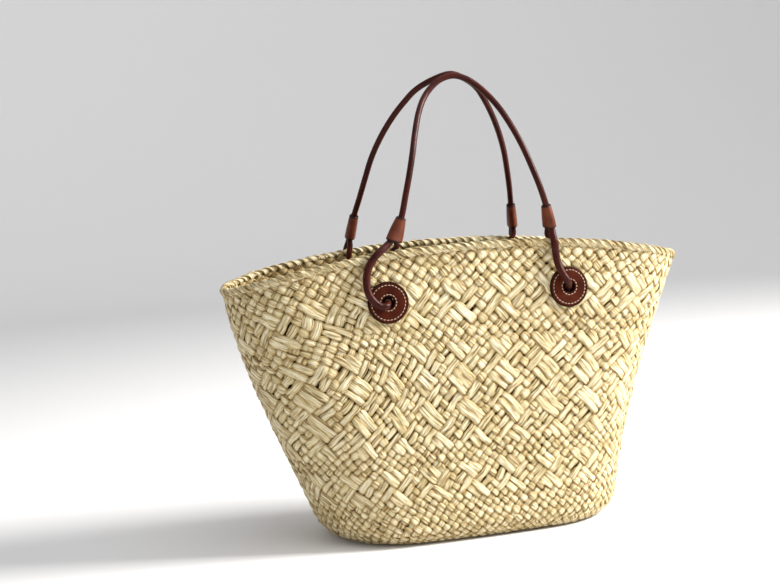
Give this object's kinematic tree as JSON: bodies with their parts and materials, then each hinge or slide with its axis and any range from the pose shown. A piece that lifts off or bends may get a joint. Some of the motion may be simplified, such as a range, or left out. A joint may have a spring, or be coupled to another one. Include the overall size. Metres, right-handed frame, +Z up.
{
  "type": "woven straw tote bag",
  "caption": "Open woven straw tote with a flaring oval body, braided rim and rolled leather handles that pass through stitched discs.",
  "frame": {"origin": "centre of the base's underside", "axes": "+Z up, X along the bag's width, the front wall faces -Y"},
  "size_m": [0.4784, 0.1754, 0.4606],
  "materials": {
    "straw": "dry plaited palm straw, matt with a slight sheen",
    "cord_leather": "smooth rolled leather, satin",
    "sleeve_leather": "smooth leather, satin",
    "disc_leather": "grained leather with burnished edges and cream stitching"
  },
  "bodies": {
    "root": {"basket_body": "straw", "rim_braid": "straw", "disc_front_left": "disc_leather", "disc_front_right": "disc_leather", "disc_back_left": "disc_leather", "disc_back_right": "disc_leather", "sleeve_front_left": "sleeve_leather", "sleeve_front_right": "sleeve_leather", "sleeve_back_left": "sleeve_leather", "sleeve_back_right": "sleeve_leather", "handle_front": "cord_leather", "handle_back": "cord_leather"}
  },
  "joints": []
}
